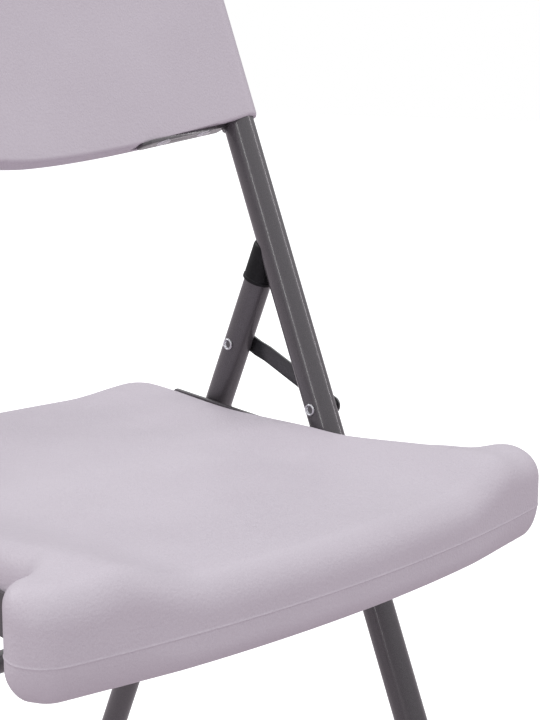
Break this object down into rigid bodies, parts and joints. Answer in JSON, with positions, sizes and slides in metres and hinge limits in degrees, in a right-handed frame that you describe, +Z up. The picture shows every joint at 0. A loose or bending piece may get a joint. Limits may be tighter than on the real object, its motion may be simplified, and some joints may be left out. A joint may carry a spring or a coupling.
{
  "type": "folding chair",
  "caption": "Folding chair with a dished moulded seat and curved moulded backrest on leaning round-tube legs, folded flat by side links and riveted seat rails.",
  "frame": {"origin": "On the floor, at the middle of the open chair's bounding box.", "axes": "+Z up, the chair faces -Y, +X towards the right-hand side seen from the front. Left and right in the node names are as seen from the front."},
  "size_m": [0.469, 0.5442, 0.8312],
  "materials": {
    "pale_plastic": "fine pebble grain, pale lavender grey",
    "frame_paint": "satin powder coat, dark taupe grey",
    "link_paint": "satin powder coat, charcoal",
    "rivet_metal": "bright zinc plate",
    "black_plastic": "satin black moulded plastic",
    "foot_rubber": "matt black"
  },
  "bodies": {
    "front_frame": {"front_tube_left": "frame_paint", "front_tube_right": "frame_paint", "front_cross_brace": "frame_paint", "front_foot_left": "foot_rubber", "front_foot_right": "foot_rubber", "backrest_shell": "pale_plastic", "back_bracket_left": "frame_paint", "back_bracket_right": "frame_paint", "back_bracket_rivets": "rivet_metal", "link_front_rivets": "rivet_metal", "link_front_washers": "black_plastic", "seat_pivot_rivets": "rivet_metal", "seat_pivot_washers": "black_plastic"},
    "seat": {"seat_shell": "pale_plastic", "seat_rail_left": "frame_paint", "seat_rail_right": "frame_paint", "seat_rail_screws": "rivet_metal"},
    "side_links": {"side_link_left": "link_paint", "side_link_right": "link_paint"},
    "rear_frame": {"rear_leg_left": "frame_paint", "rear_leg_right": "frame_paint", "rear_cross_brace": "frame_paint", "rear_foot_left": "foot_rubber", "rear_foot_right": "foot_rubber", "rear_cap_left": "black_plastic", "rear_cap_right": "black_plastic", "link_rear_rivets": "rivet_metal", "link_rear_washers": "black_plastic", "leg_pivot_rivets": "rivet_metal", "leg_pivot_spacers": "black_plastic"}
  },
  "joints": [
    {"name": "seat_fold", "type": "hinge", "parent": "front_frame", "child": "seat", "pos_m": [0, -0.05996, 0.41], "axis": [-1, 0, 0], "range_deg": [0, 96]},
    {"name": "link_swing", "type": "hinge", "parent": "front_frame", "child": "side_links", "pos_m": [0, -0.0476, 0.44], "axis": [-1, 0, 0], "range_deg": [0, 110.1]},
    {"name": "rear_leg_swing", "type": "hinge", "parent": "side_links", "child": "rear_frame", "pos_m": [0, 0.04637, 0.48144], "axis": [1, 0, 0], "range_deg": [0, 64.1]}
  ],
  "couplings": [
    {"joint": "link_swing", "follows": "seat_fold", "ratio": 1.1458},
    {"joint": "rear_leg_swing", "follows": "seat_fold", "ratio": 0.66667}
  ]
}
